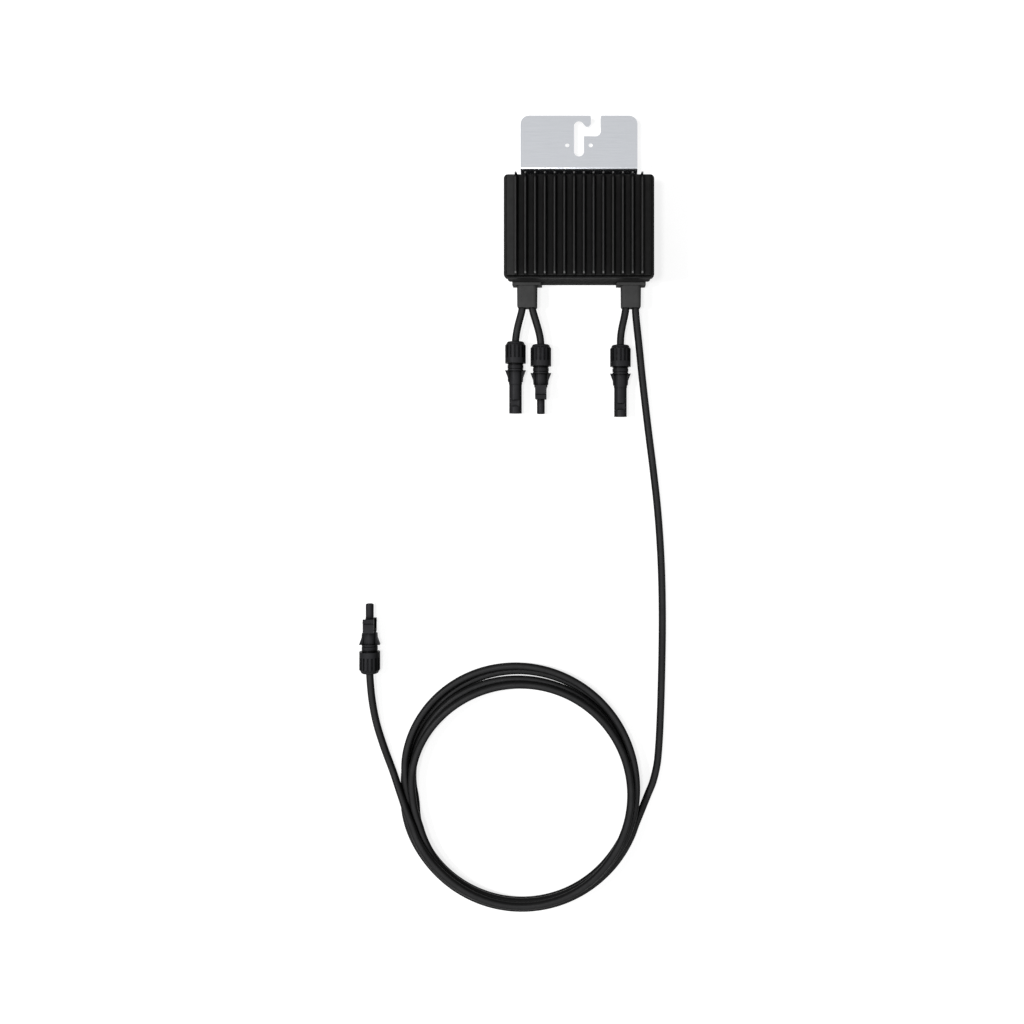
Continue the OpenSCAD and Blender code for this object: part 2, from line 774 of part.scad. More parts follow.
module board_screws() {
    color(steel)
        for (p = post_at)
            translate([p[0], p[1], z_parts]) {
                difference() {
                    cylinder(h = board_head_h, r = board_head_r);
                    translate([0, 0, board_head_h / 2])
                        cylinder(h = board_head_h, r = board_head_r / 2, $fn = 6);
                }
                translate([0, 0, eps - board_screw_l]) cylinder(h = board_screw_l, r = board_screw_r);
            }
}

module lead_terminals() {
    color(tinned)
        for (p = [exit_a, exit_b, exit_c, exit_d])
            translate([p[0] - terminal_size[0] / 2, y_terminal, z_board - terminal_h])
                cube([terminal_size[0], terminal_size[1], terminal_h]);
}

module inductor_cores() {
    window_h = inductor_h - 2 * inductor_plate;
    color(ferrite)
        for (s = [-1, 1])
            translate([s * inductor_at[0], inductor_at[1], z_parts])
                difference() {
                    translate([-inductor_size[0] / 2, -inductor_size[1] / 2, 0])
                        cube([inductor_size[0], inductor_size[1], inductor_h]);
                    translate([0, 0, inductor_plate]) difference() {
                        union() {
                            cylinder(h = window_h, r = inductor_coil_r);
                            translate([-inductor_coil_r, -inductor_size[1], 0])
                                cube([2 * inductor_coil_r, inductor_size[1], window_h]);
                        }
                        translate([0, 0, -eps]) cylinder(h = window_h + 2 * eps, r = inductor_post_r);
                    }
                }
}

module inductor_windings() {
    window_h = inductor_h - 2 * inductor_plate;
    color(copper)
        for (s = [-1, 1])
            translate([s * inductor_at[0], inductor_at[1], z_parts + inductor_plate])
                difference() {
                    cylinder(h = window_h - play, r = inductor_coil_r - 2 * play);
                    translate([0, 0, -eps])
                        cylinder(h = window_h + 2 * eps, r = inductor_post_r + 2 * play);
                }
}

module film_capacitors() {
    color(film_case)
        for (s = [-1, 1], p = capacitor_at)
            translate([s * p[0], p[1], z_parts]) linear_extrude(capacitor_h)
                round_rect(capacitor_size[0], capacitor_size[1], capacitor_corner);
}

module power_transistors() {
    color(plastic_black)
        for (y = transistor_y)
            translate([-transistor_size[0] / 2, y - transistor_size[1] / 2, z_parts])
                cube([transistor_size[0], transistor_size[1], transistor_h]);
}

module thermal_pad() {
    color(pad_grey)
        translate([-pedestal_size[0] / 2, -pedestal_size[1] / 2, z_parts + transistor_h])
            cube([pedestal_size[0], pedestal_size[1], pad_t]);
}

module control_chips() {
    color(plastic_black)
        for (s = [-1, 1], p = chip_at)
            translate([s * p[0] - chip_size[0] / 2, p[1] - chip_size[1] / 2, z_parts]) cube(chip_size);
}

// Lead as one tube through the points, square to the two given directions at its ends
module tube(points, from_dir, to_dir) {
    sides = 12;
    last = len(points) - 1;
    dirs = [
        for (i = [0 : last])
            i == 0 ? from_dir : i == last ? to_dir : let (
                a = points[i] - points[i - 1],
                b = points[i + 1] - points[i],
                c = a / norm(a) + b / norm(b)
            ) c / norm(c)
    ];
    verts = [
        for (i = [0 : last]) let (
            side = cross(dirs[i], [0, 0, 1]) / norm(cross(dirs[i], [0, 0, 1])),
            up = cross(side, dirs[i])
        )
            for (j = [0 : sides - 1])
                points[i] + cable_r * (cos(360 * j / sides) * side + sin(360 * j / sides) * up)
    ];
    walls = [
        for (i = [0 : last - 1], j = [0 : sides - 1]) let (k = (j + 1) % sides)
            [i * sides + j, i * sides + k, (i + 1) * sides + k, (i + 1) * sides + j]
    ];
    cap_from = [[for (j = [0 : sides - 1]) sides - 1 - j]];
    cap_to = [[for (j = [0 : sides - 1]) last * sides + j]];
    color(rubber_black) polyhedron(points = verts, faces = concat(walls, cap_from, cap_to));
}

module input_lead_a() tube(concat(points_a, [plug_in_at + u_cable * away]), away, away);
module input_lead_b() tube(concat(points_b, [socket_in_at + u_cable * away]), away, away);
module output_lead_short() tube(concat(points_c, [plug_out_at + u_cable * away]), away, away);
module output_lead_run() tube(points_d, away, entry_dir);
module output_lead_tail() tube(concat(points_e, [socket_out_at + u_cable * back]), leave_dir, back);

module output_lead_coil() {
    coil_w = coil_out - coil_in;
    color(rubber_black) {
        translate(coil_at) rotate_extrude($fn = 128)
            translate([coil_in + coil_w / 2, coil_h / 2]) round_rect(coil_w, coil_h, coil_corner);
        translate(entry_s) rotate([0, 0, entry_a]) rotate([90, 0, 0]) cylinder(h = entry_l, r = cable_r);
        translate(leave_p) rotate([0, 0, leave_a]) rotate([90, 0, 0]) cylinder(h = leave_l, r = cable_r);
    }
}

// Puts a connector's axis on the floor, pointing away from the body at a turn of 0
module lay(p, turn) {
    translate(p) rotate([0, 0, turn]) rotate([90, 0, 0]) children();
}

module nut() {
    nut_r = nut_d / 2;
    color(plastic_black) difference() {
        rotate_extrude() {
            polygon([
                [0, nut_round], [0, 0], [nut_r - nut_end_drop - nut_round, 0],
                [nut_r - nut_end_drop, nut_round], [nut_r, nut_end_l], [nut_r, nut_l], [0, nut_l]
            ]);
            translate([nut_r - nut_end_drop - nut_round, nut_round]) intersection() {
                circle(nut_round);
                translate([0, -nut_round]) square(nut_round);
            }
        }
        translate([0, 0, -eps]) cylinder(h = nut_l, r = bore_r);
        translate([0, 0, nut_back]) cylinder(h = nut_l, r = neck_d / 2 + play);
        for (i = [0 : flute_count - 1])
            rotate([0, 0, i * 360 / flute_count]) translate([nut_r - flute_d, -flute_w / 2, -eps])
                cube([nut_r, flute_w, flute_l + eps]);
    }
}

module cable_seal() {
    color(rubber_black) translate([0, 0, neck_in]) difference() {
        cylinder(h = seal_l, r = seal_r);
        translate([0, 0, -eps]) cylinder(h = seal_l + 2 * eps, r = bore_r - play / 2);
    }
}

// Neck, wings and middle of a connector's housing, without its bores
module housing_rear() {
    neck_r = neck_d / 2;
    difference() {
        translate([0, 0, neck_in]) cylinder(h = u_wing - neck_in + eps, r = neck_r);
        for (u = [nut_l + ring_l, u_wing - 2 * ring_l])
            translate([0, 0, u]) difference() {
                cylinder(h = ring_l, r = neck_r + eps);
                translate([0, 0, -eps]) cylinder(h = ring_l + 2 * eps, r = neck_r - ring_d);
            }
    }
    translate([0, 0, u_wing]) cylinder(h = wing_l, r = core_d / 2);
    rotate([90, 0, 0]) linear_extrude(wing_t, center = true) polygon([
        [-wing_w / 2, u_wing], [wing_w / 2, u_wing], [wing_mid_x, u_wing + wing_mid],
        [wing_low_x, u_wing + wing_low], [0, u_core + wing_low_x - core_d / 2],
        [-wing_low_x, u_wing + wing_low], [-wing_mid_x, u_wing + wing_mid]
    ]);
}

module housing_bores() {
    translate([0, 0, neck_in - eps]) cylinder(h = seal_l + eps, r = seal_r + play);
    translate([0, 0, neck_in]) cylinder(h = u_cable - neck_in, r = bore_r);
}

module plug_housing() {
    color(plastic_black) difference() {
        union() {
            housing_rear();
            translate([0, 0, u_core - eps]) cylinder(h = plug_l - u_core + eps, r = sleeve_d / 2);
        }
        housing_bores();
        translate([0, 0, u_cable - eps]) cylinder(h = u_hollow - u_cable + 2 * eps, r = contact_r + play);
        translate([0, 0, u_hollow]) cylinder(h = plug_l, r = hollow_d / 2);
        for (s = [0, 180])
            rotate([0, 0, s]) translate([-sleeve_d / 2, window_flat, plug_l - window_end - window_l])
                cube([sleeve_d, sleeve_d, window_l]);
    }
}

module plug_contact() {
    color(tinned) {
        translate([0, 0, u_cable]) cylinder(h = u_hollow - u_cable, r = contact_r);
        translate([0, 0, u_hollow - eps])
            cylinder(h = plug_l - pin_recess - pin_tip - u_hollow + eps, r = pin_d / 2);
        translate([0, 0, plug_l - pin_recess - pin_tip])
            cylinder(h = pin_tip, r1 = pin_d / 2, r2 = pin_d / 4);
    }
}

module latch_arm() {
    out = latch_in + latch_t;
    tip = u_core + latch_l;
    rotate([90, 0, 90]) linear_extrude(latch_w, center = true) polygon([
        [0, u_core - latch_root], [out, u_core - latch_root], [out, tip - latch_hook_l],
        [out + latch_hook, tip - latch_hook_l + latch_hook_rise], [out - latch_hook / 2, tip],
        [latch_in, tip], [latch_in, u_core], [0, u_core]
    ]);
}

module socket_housing() {
    nose_r = nose_d / 2;
    u_nose = u_core + latch_l;
    color(plastic_black) difference() {
        union() {
            housing_rear();
            for (s = [0, 180]) rotate([0, 0, s]) latch_arm();
            translate([0, 0, u_core - eps]) cylinder(h = latch_l + eps, r = nose_root_r);
            translate([0, 0, u_nose - eps])
                cylinder(h = socket_l - nose_edge - u_nose + eps, r = nose_r);
            translate([0, 0, socket_l - nose_edge])
                cylinder(h = nose_edge, r1 = nose_r, r2 = nose_r - nose_edge);
        }
        housing_bores();
        translate([0, 0, u_cable - eps])
            cylinder(h = socket_l - nose_lip - u_cable + eps, r = contact_r + play);
        translate([0, 0, u_cable]) cylinder(h = socket_l, r = nose_hole_r);
    }
}

module socket_contact() {
    front = socket_l - nose_lip - play;
    color(tinned) difference() {
        translate([0, 0, u_cable]) cylinder(h = front - u_cable, r = contact_r);
        translate([0, 0, front - socket_bore_l]) cylinder(h = socket_bore_l + eps, r = socket_bore_r);
    }
}

module nose_ring() {
    color(rubber_black) translate([0, 0, u_core + seal_ring_r]) rotate_extrude()
        translate([nose_root_r + seal_ring_r + play / 2, 0]) circle(seal_ring_r);
}

module plug_in_nut() lay(plug_in_at, 0) nut();
module plug_in_housing() lay(plug_in_at, 0) plug_housing();
module plug_in_seal() lay(plug_in_at, 0) cable_seal();
module plug_in_contact() lay(plug_in_at, 0) plug_contact();

module socket_in_nut() lay(socket_in_at, 0) nut();
module socket_in_housing() lay(socket_in_at, 0) socket_housing();
module socket_in_seal() lay(socket_in_at, 0) cable_seal();
module socket_in_contact() lay(socket_in_at, 0) socket_contact();
module socket_in_ring() lay(socket_in_at, 0) nose_ring();

module plug_out_nut() lay(plug_out_at, 0) nut();
module plug_out_housing() lay(plug_out_at, 0) plug_housing();
module plug_out_seal() lay(plug_out_at, 0) cable_seal();
module plug_out_contact() lay(plug_out_at, 0) plug_contact();

module socket_out_nut() lay(socket_out_at, 180) nut();
module socket_out_housing() lay(socket_out_at, 180) socket_housing();
module socket_out_seal() lay(socket_out_at, 180) cable_seal();
module socket_out_contact() lay(socket_out_at, 180) socket_contact();
module socket_out_ring() lay(socket_out_at, 180) nose_ring();

heat_sink_cover();
cover_gasket();
rear_housing();
cover_screws();
mounting_bracket();
bracket_screws();
input_gland();
output_gland();
circuit_board();
board_screws();
lead_terminals();
inductor_cores();
inductor_windings();
film_capacitors();
power_transistors();
thermal_pad();
control_chips();
input_lead_a();
input_lead_b();
output_lead_short();
output_lead_run();
output_lead_coil();
output_lead_tail();
plug_in_nut();
plug_in_housing();
plug_in_seal();
plug_in_contact();
socket_in_nut();
socket_in_housing();
socket_in_seal();
socket_in_contact();
socket_in_ring();
plug_out_nut();
plug_out_housing();
plug_out_seal();
plug_out_contact();
socket_out_nut();
socket_out_housing();
socket_out_seal();
socket_out_contact();
socket_out_ring();
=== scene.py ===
import math

import bpy
import numpy as np
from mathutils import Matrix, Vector


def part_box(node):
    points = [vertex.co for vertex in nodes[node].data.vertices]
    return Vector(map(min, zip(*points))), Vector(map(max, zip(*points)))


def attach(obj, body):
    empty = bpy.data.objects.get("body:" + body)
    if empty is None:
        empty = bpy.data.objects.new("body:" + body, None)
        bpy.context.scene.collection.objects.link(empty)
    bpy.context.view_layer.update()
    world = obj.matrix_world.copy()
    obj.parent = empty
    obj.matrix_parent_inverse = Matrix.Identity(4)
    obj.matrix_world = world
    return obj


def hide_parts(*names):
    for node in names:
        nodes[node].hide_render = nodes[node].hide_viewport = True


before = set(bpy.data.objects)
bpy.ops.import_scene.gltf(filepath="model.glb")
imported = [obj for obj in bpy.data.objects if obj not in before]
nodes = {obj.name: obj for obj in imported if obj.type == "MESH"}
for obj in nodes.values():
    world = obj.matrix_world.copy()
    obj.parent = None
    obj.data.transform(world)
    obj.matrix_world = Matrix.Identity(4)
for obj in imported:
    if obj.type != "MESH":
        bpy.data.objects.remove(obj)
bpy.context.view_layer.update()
scene = bpy.context.scene
scene.view_settings.view_transform = "Standard"
MM = 0.001

# Camera: looks straight down from above the body's middle line. Its shift, in pixels, gives the
# photograph's frame
CAMERA_Y = -0.20045
CAMERA_Z = 0.954
LENS = 37.27
SENSOR = 36.0
IMAGE = 1024
SHIFT_X, SHIFT_Y = -67, -52
camera_data = bpy.data.cameras.new("camera")
camera_data.lens = LENS
camera_data.sensor_width = SENSOR
camera_data.shift_x = SHIFT_X / IMAGE
camera_data.shift_y = SHIFT_Y / IMAGE
camera = bpy.data.objects.new("camera", camera_data)
camera.location = (0, CAMERA_Y, CAMERA_Z)
scene.collection.objects.link(camera)
scene.camera = camera


# Leads. Their sizes and places are in millimetres, as in the part's source
CABLE_R = 3.3
NUT_Z = 9.2
EXIT_A = (-50.2, -65.5, 11)
EXIT_B = (-41.8, -65.5, 11)
EXIT_C = (41.8, -65.5, 11)
EXIT_D = (50.2, -65.5, 11)
COIL_X = -52.3
COIL_Y = -495.5
INSIDE_Y = (-38, -47, -57)
INTO_NUT = (5, 12, 19.5)
SHORT_STEP, LONG_STEP = 1.5, 2.5


def route(start, steps, low):
    """Points dx and dy from a start, each with a share of the start's height over a low level."""
    x, y, z = start
    return [(x + dx, y + dy, low + share * (z - low)) for dx, dy, share in steps]


def even(points, step):
    """The points again, on a smooth line through them, about a step apart."""
    p = np.array(points, float)
    gap = np.linalg.norm(np.diff(p, axis=0), axis=1)
    at = np.concatenate([[0], np.cumsum(np.sqrt(gap))])
    slope = np.gradient(p, at, axis=0)
    out = [p[0]]
    for i in range(len(p) - 1):
        h = at[i + 1] - at[i]
        n = max(2, math.ceil(gap[i] / step))
        for t in np.arange(1, n + 1) / n:
            a = 2 * t**3 - 3 * t**2 + 1
            b = t**3 - 2 * t**2 + t
            c = 3 * t**2 - 2 * t**3
            d = t**3 - t**2
            out.append(a * p[i] + b * h * slope[i] + c * p[i + 1] + d * h * slope[i + 1])
    return np.array(out)


def inner(start):
    """Points from the terminal in the housing to the gland, straight behind an exit."""
    x, _, z = start
    return [(x, y, z) for y in INSIDE_Y]


def into_nut(end, sign):
    """Points from a nut's mouth to where its contact takes over the lead."""
    x, y, z = end
    return [(x, y + sign * u, z) for u in INTO_NUT]


route_a = [
    (-0.1, 1.5, 1), (-0.7, -2.5, 0.98), (-1.8, -7, 0.9), (-3.2, -12, 0.7),
    (-4.7, -18, 0.4), (-5.8, -24, 0.1), (-6.4, -29.5, 0),
]
route_b = [
    (0.1, 1.5, 1), (0.8, -2.5, 0.98), (2.1, -7, 0.9), (3.9, -13, 0.7),
    (5.6, -19, 0.4), (7, -25, 0.1), (7.8, -32, 0),
]
route_c = [
    (-0.1, 1.5, 1), (-0.5, -2.5, 0.98), (-1.3, -7, 0.9), (-2.6, -13, 0.7),
    (-3.8, -19, 0.4), (-4.6, -25, 0.1), (-4.9, -32.5, 0),
]
route_d = [
    (0, 1.5, 1), (0.2, -4, 0.98), (1.2, -14, 0.85), (3.5, -34, 0.5), (6.5, -62, 0.15),
    (11.5, -105, 0), (16.5, -145, 0), (20.5, -182, 0), (23.5, -228, 0), (24.5, -275, 0),
    (24, -320, 0), (22.7, -365, 0), (21.3, -392, 0), (19.7, -408, 0),
]
# From the coil to the long lead's connector: dx and dy from the coil's middle, and the height
route_e = [(-123, 40, 4.6), (-129, 60, 5.2), (-132.5, 82, 7.9), (-134.2, 105, NUT_Z)]

short_routes = {}
for name, start, steps in (("a", EXIT_A, route_a), ("b", EXIT_B, route_b), ("c", EXIT_C, route_c)):
    free = route(start, steps, NUT_Z)
    short_routes[name] = even(inner(start) + free + into_nut(free[-1], -1), SHORT_STEP)

# The coil, as cross-sections every STEP degrees along the lead, clockwise from ENTRY_A. A row of RING is
# an angle round the coil's middle, and the inner and outer edge that the camera sees there. A row of
# PASSES is one turn: angles, and the turn's place between the two edges. A turn keeps near its place,
# lies on the turns under it and on the floor, and bends no more than it must
STEP = 5
ENTRY_A, ENTRY_R = -22, 107.5
LEAVE_R = 99.3
TURNED = 1575
LEAD_IN, LEAD_OUT = 25, 30
RING = [
    (-180, 96, 110), (-150, 99, 108.5), (-120, 98.5, 110), (-90, 98, 111.5),
    (-60, 99.5, 110.5), (-30, 99.5, 109.5), (0, 95.5, 109), (30, 92.5, 109.5),
    (60, 90, 110.5), (90, 89, 113), (120, 90.5, 116.5), (150, 93, 115),
]
PASSES = [
    [(-22, 1), (-90, 1), (-135, 0.9), (-160, 0.6), (180, 0.54), (155, 0.55), (135, 0.58), (112, 0.7),
     (90, 0.81), (68, 0.73), (45, 0.66), (0, 0.9), (-15, 0.9)],
    [(-45, 0), (-90, 0), (-160, 0), (180, 0.24), (155, 0.38), (135, 0.43), (112, 0.34),
     (90, 0.26), (68, 0.29), (45, 0.34), (0, 0.1), (-15, 0.2)],
    [(-45, 0.6), (-90, 0.6), (-135, 0.7), (-160, 0.8), (180, 0.9), (135, 1), (90, 1),
     (45, 0.95), (0, 0.6), (-15, 0.5)],
    [(-45, 0.2), (-90, 0.1), (-135, 0.1), (-160, 0.3), (180, 0.35), (160, 0.25), (135, 0), (90, 0),
     (0, 0), (-15, 0.2)],
    [(-45, 0.5), (-90, 0.85), (-135, 0.6), (-150, 0.4), (-157, 0.15)],
]
SOFTEN = (1, 3, 5, 6, 5, 3, 1)
# Rounds of settling, and how many of them are the last, with neither weight nor pull
SETTLE, REST = 3000, 150
# Between two strands' middle lines
APART = 2 * CABLE_R + 0.04
# The climb at the start, as a share of APART for each turn
CLIMB = 0.6
# In one round: the fall, and the share of the way to the place, to the neighbours' mean, and sideways out
FALL = 0.012
PULL = 0.09
EASE_R, EASE_Z = 0.1, 0.3
GIVE = 0.6
TINY = 1e-6


def travelled(turn, angle):
    """Degrees along the lead at an angle of a turn."""
    return 360 * turn + (ENTRY_A - angle) % 360


def lanes(phi):
    """Apparent radius that each cross-section tends to."""
    ring = np.array(RING)
    around = np.concatenate([ring - (360, 0, 0), ring, ring + (360, 0, 0)]).T
    seen = (ENTRY_A - phi + 180) % 360 - 180
    low = np.interp(seen, around[0], around[1]) + CABLE_R
    high = np.interp(seen, around[0], around[2]) - CABLE_R
    places = [(travelled(turn, angle), share) for turn, row in enumerate(PASSES) for angle, share in row]
    lane = low + np.interp(phi, *zip(*places)) * (high - low)
    kernel = np.array(SOFTEN) / sum(SOFTEN)
    return np.convolve(np.pad(lane, len(SOFTEN) // 2, mode="edge"), kernel, mode="valid")


def wound():
    """Degrees along the lead, radius and height of each cross-section, after the turns have settled."""
    phi = np.arange(-LEAD_IN, TURNED + LEAD_OUT + STEP, STEP, dtype=float)
    before, after = phi < 0, phi > TURNED
    angle = np.radians(ENTRY_A - phi)
    c, s = np.cos(angle), np.sin(angle)

    def outward(r, z):
        """How much farther out a raised cross-section looks from the camera."""
        away = (COIL_X + r * c) * c + (COIL_Y + r * s - CAMERA_Y / MM) * s
        return z / (CAMERA_Z / MM - z) * away

    lane = lanes(phi)
    entry = ENTRY_R / np.cos(np.radians(phi[before]))
    leave = LEAVE_R / np.cos(np.radians(phi[after] - TURNED))
    z = CABLE_R + CLIMB * APART * np.clip(phi / 360, 0, None)
    r = lane - outward(lane, z)
    lag = 360 // STEP
    for turn in range(SETTLE):
        if turn < SETTLE - REST:
            z[~before] -= FALL
            r += PULL * (lane - outward(r, z) - r)
        for values, share in ((r, EASE_R), (z, EASE_Z), (z, EASE_Z)):
            within = values[1:-1]
            values[1:-1] = within + share * ((values[:-2] + values[2:]) / 2 - within)
        for k in range(1, len(PASSES)):
            i = np.arange(len(phi) - k * lag)
            j = i + k * lag
            dr, dz = r[j] - r[i], z[j] - z[i]
            dist = np.maximum(np.hypot(dr, dz), TINY)
            push = np.maximum(APART - dist, 0) / dist / 2
            np.subtract.at(r, i, push * dr * GIVE)
            np.add.at(r, j, push * dr * GIVE)
            np.subtract.at(z, i, push * dz)
            np.add.at(z, j, push * dz)
        z = np.maximum(z, CABLE_R)
        r[before], z[before] = entry, CABLE_R
        r[after] = leave
    return phi, r, z


phi, coil_r, coil_z = wound()
angle = np.radians(ENTRY_A - phi)
coil = np.stack([COIL_X + coil_r * np.cos(angle), COIL_Y + coil_r * np.sin(angle), coil_z], axis=1)
run = route(EXIT_D, route_d, CABLE_R)
tail = [(COIL_X + dx, COIL_Y + dy, z) for dx, dy, z in route_e]
long_route = even(inner(EXIT_D) + run + list(coil) + tail + into_nut(tail[-1], 1), LONG_STEP)

ROUNDNESS = 6


def lead(name, line, replaced):
    """A lead along a line. The curve's bevel is 1 m, so a point's radius is the cable's own."""
    data = bpy.data.curves.new(name, "CURVE")
    data.dimensions = "3D"
    data.bevel_depth = 1.0
    data.bevel_resolution = ROUNDNESS
    data.use_fill_caps = True
    spline = data.splines.new("POLY")
    spline.points.add(len(line) - 1)
    for point, place in zip(spline.points, line):
        point.co = (*(place * MM), 1)
        point.radius = CABLE_R * MM
    spline.use_smooth = True
    obj = bpy.data.objects.new(name, data)
    scene.collection.objects.link(obj)
    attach(obj, "root")
    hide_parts(*replaced)
    return obj


lead_a = lead("lead_in_a", short_routes["a"], ["input_lead_a"])
lead_b = lead("lead_in_b", short_routes["b"], ["input_lead_b"])
lead_c = lead("lead_out_short", short_routes["c"], ["output_lead_short"])
lead_d = lead("lead_out_long", long_route, ["output_lead_run", "output_lead_coil", "output_lead_tail"])


# Materials. Lengths are in metres from here on
WHITE = (1, 1, 1)
CORNER_SAMPLES = 6
# The colour sockets of a Mix node, which have the same names as its number sockets
MIX_A, MIX_B, MIX_OUT = 6, 7, 2


def grey(v, blue=1.0):
    return (v, v, v * blue)


class Paint:
    """A material whose colour, roughness and bump come from nodes over the object's own space."""

    def __init__(self, name, metallic=0.0, specular=0.5):
        self.mat = bpy.data.materials.new(name)
        self.mat.use_nodes = True
        self.tree = self.mat.node_tree
        self.shader = self.tree.nodes["Principled BSDF"]
        self.shader.inputs["Metallic"].default_value = metallic
        self.shader.inputs["Specular IOR Level"].default_value = specular
        self.place = self.tree.nodes.new("ShaderNodeTexCoord").outputs["Object"]
        self.shade = self.corner = self.height = None

    def link(self, a, b):
        self.tree.links.new(a, b)

    def stretched(self, scale):
        node = self.tree.nodes.new("ShaderNodeMapping")
        node.inputs["Scale"].default_value = scale
        self.link(self.place, node.inputs["Vector"])
        return node.outputs["Vector"]

    def noise(self, scale, detail, stretch=None):
        node = self.tree.nodes.new("ShaderNodeTexNoise")
        node.inputs["Scale"].default_value = scale
        node.inputs["Detail"].default_value = detail
        self.link(self.stretched(stretch) if stretch else self.place, node.inputs["Vector"])
        return node.outputs["Fac"]

    def ramp(self, value, low, high, start=0.3, end=0.7):
        """A colour from low to high as a value goes from start to end."""
        node = self.tree.nodes.new("ShaderNodeValToRGB")
        node.color_ramp.elements[0].position = start
        node.color_ramp.elements[0].color = (*low, 1)
        node.color_ramp.elements[1].position = end
        node.color_ramp.elements[1].color = (*high, 1)
        self.link(value, node.inputs["Fac"])
        return node.outputs["Color"]

    def spread(self, value, low, high, start=0.3, end=0.7):
        """A number from low to high as a value goes from start to end."""
        node = self.tree.nodes.new("ShaderNodeMapRange")
        node.inputs["From Min"].default_value = start
        node.inputs["From Max"].default_value = end
        node.inputs["To Min"].default_value = low
        node.inputs["To Max"].default_value = high
        self.link(value, node.inputs["Value"])
        return node.outputs["Result"]

    def along(self, axis):
        """Place along an axis of the object's own space."""
        parts = self.tree.nodes.new("ShaderNodeSeparateXYZ")
        self.link(self.place, parts.inputs[0])
        return parts.outputs[axis]

    def math(self, operation, a, b):
        """A socket and a second socket or a number, put together by an operation."""
        node = self.tree.nodes.new("ShaderNodeMath")
        node.operation = operation
        self.link(a, node.inputs[0])
        if isinstance(b, (int, float)):
            node.inputs[1].default_value = b
        else:
            self.link(b, node.inputs[1])
        return node.outputs[0]

    def times(self, one, other, share=None):
        """One colour times another, all over or by a share."""
        node = self.tree.nodes.new("ShaderNodeMix")
        node.data_type = "RGBA"
        node.blend_type = "MULTIPLY"
        node.inputs["Factor"].default_value = 1.0
        if share is not None:
            self.link(share, node.inputs["Factor"])
        self.link(one, node.inputs[MIX_A])
        self.link(other, node.inputs[MIX_B])
        return node.outputs[MIX_OUT]

    def base(self, shade):
        self.shade = shade
        self.link(shade, self.shader.inputs["Base Color"])

    def colour(self, value, low, high, reach=0.0, deep=0.0, start=0.35, end=0.85):
        """Noise between two colours. Within reach of an inner corner it falls to a deep share of that, a
        painted shade.
        """
        shade = self.ramp(value, low, high)
        if reach:
            near = self.tree.nodes.new("ShaderNodeAmbientOcclusion")
            near.samples = CORNER_SAMPLES
            near.inputs["Distance"].default_value = reach
            self.corner = near.outputs["AO"]
            shade = self.times(shade, self.ramp(self.corner, grey(deep), WHITE, start, end))
        self.base(shade)

    def shade_low_corners(self, below, deep, start, end):
        """Painted shade: shallow inner corners darken too, on faces lower than a height."""
        dark = self.ramp(self.corner, grey(deep), WHITE, start, end)
        self.base(self.times(self.shade, dark, self.math("LESS_THAN", self.along("Z"), below)))

    def light_or_shade_over(self, share, colour):
        """A share of another colour, painted over the rest as light or shade."""
        node = self.tree.nodes.new("ShaderNodeMix")
        node.data_type = "RGBA"
        node.inputs[MIX_B].default_value = (*colour, 1)
        self.link(share, node.inputs["Factor"])
        self.link(self.shade, node.inputs[MIX_A])
        self.base(node.outputs[MIX_OUT])

    def sides_shaded(self, deep, start, end):
        """Painted shade: faces turned to the sky keep their colour, and a side keeps a deep share of it,
        as if lit from above.
        """
        parts = self.tree.nodes.new("ShaderNodeSeparateXYZ")
        self.link(self.tree.nodes.new("ShaderNodeNewGeometry").outputs["Normal"], parts.inputs[0])
        self.base(self.times(self.shade, self.ramp(parts.outputs["Z"], grey(deep), WHITE, start, end)))

    def rough(self, value, low, high):
        self.link(self.spread(value, low, high), self.shader.inputs["Roughness"])

    def bump(self, value, distance, strength):
        """A bump over those made before."""
        node = self.tree.nodes.new("ShaderNodeBump")
        node.inputs["Strength"].default_value = strength
        node.inputs["Distance"].default_value = distance
        self.link(value, node.inputs["Height"])
        if self.height is not None:
            self.link(self.height, node.inputs["Normal"])
        self.height = node.outputs["Normal"]
        self.link(self.height, self.shader.inputs["Normal"])


# The cover's fins. FIN_H and the ledges are the source's fin_h, ledge_front and ledge_back
FIN_H = 0.011
LEDGE_FRONT, LEDGE_BACK = 0.0021, 0.001
cover_low, cover_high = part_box("heat_sink_cover")
fin_top = cover_high[2]
fin_foot = fin_top - FIN_H
fin_front, fin_back = cover_low[1] + LEDGE_FRONT, cover_high[1] - LEDGE_BACK
# Where the painted shade and highlights on the fins set in and where they are full, from the fins' top,
# foot or ends
SHADE_UNDER_FOOT = 0.0002
CREST_LIGHT_FROM, CREST_LIGHT_FULL = 0.0011, 0.0003
BEHIND_FROM, BEHIND_FULL = 0.0055, 0.0035
BEHIND_OVER_FOOT = 0.001
TIP_FULL, TIP_FROM = 0.0011, 0.0019
TIP_DEEP, TIP_HIGH = 0.0022, 0.0012

cast = Paint("cast_black", specular=0.004)
# Painted shade: darker within reach of inner corners, in shallow corners low down, and on faces turned to
# the side
cast.colour(cast.noise(160, 4), low=grey(0.029), high=grey(0.035), reach=0.0025, deep=0.1)
cast.shade_low_corners(fin_foot - SHADE_UNDER_FOOT, deep=0.15, start=0.8, end=0.97)
cast.sides_shaded(deep=0.55, start=0.5, end=0.9)
# Painted highlight: fin tops lighter in patches
crest_highlight = cast.spread(cast.along("Z"), 0, 1, fin_top - CREST_LIGHT_FROM, fin_top - CREST_LIGHT_FULL)
patchy = cast.spread(cast.noise(260, 3), 0.6, 1)
cast.light_or_shade_over(cast.math("MULTIPLY", crest_highlight, patchy), grey(0.046))
# Painted shade: dark back ends of the fins
behind = cast.spread(cast.along("Y"), 0, 1, fin_back - BEHIND_FROM, fin_back - BEHIND_FULL)
raised = cast.math("GREATER_THAN", cast.along("Z"), fin_foot + BEHIND_OVER_FOOT)
cast.light_or_shade_over(cast.math("MULTIPLY", behind, raised), grey(0.009))
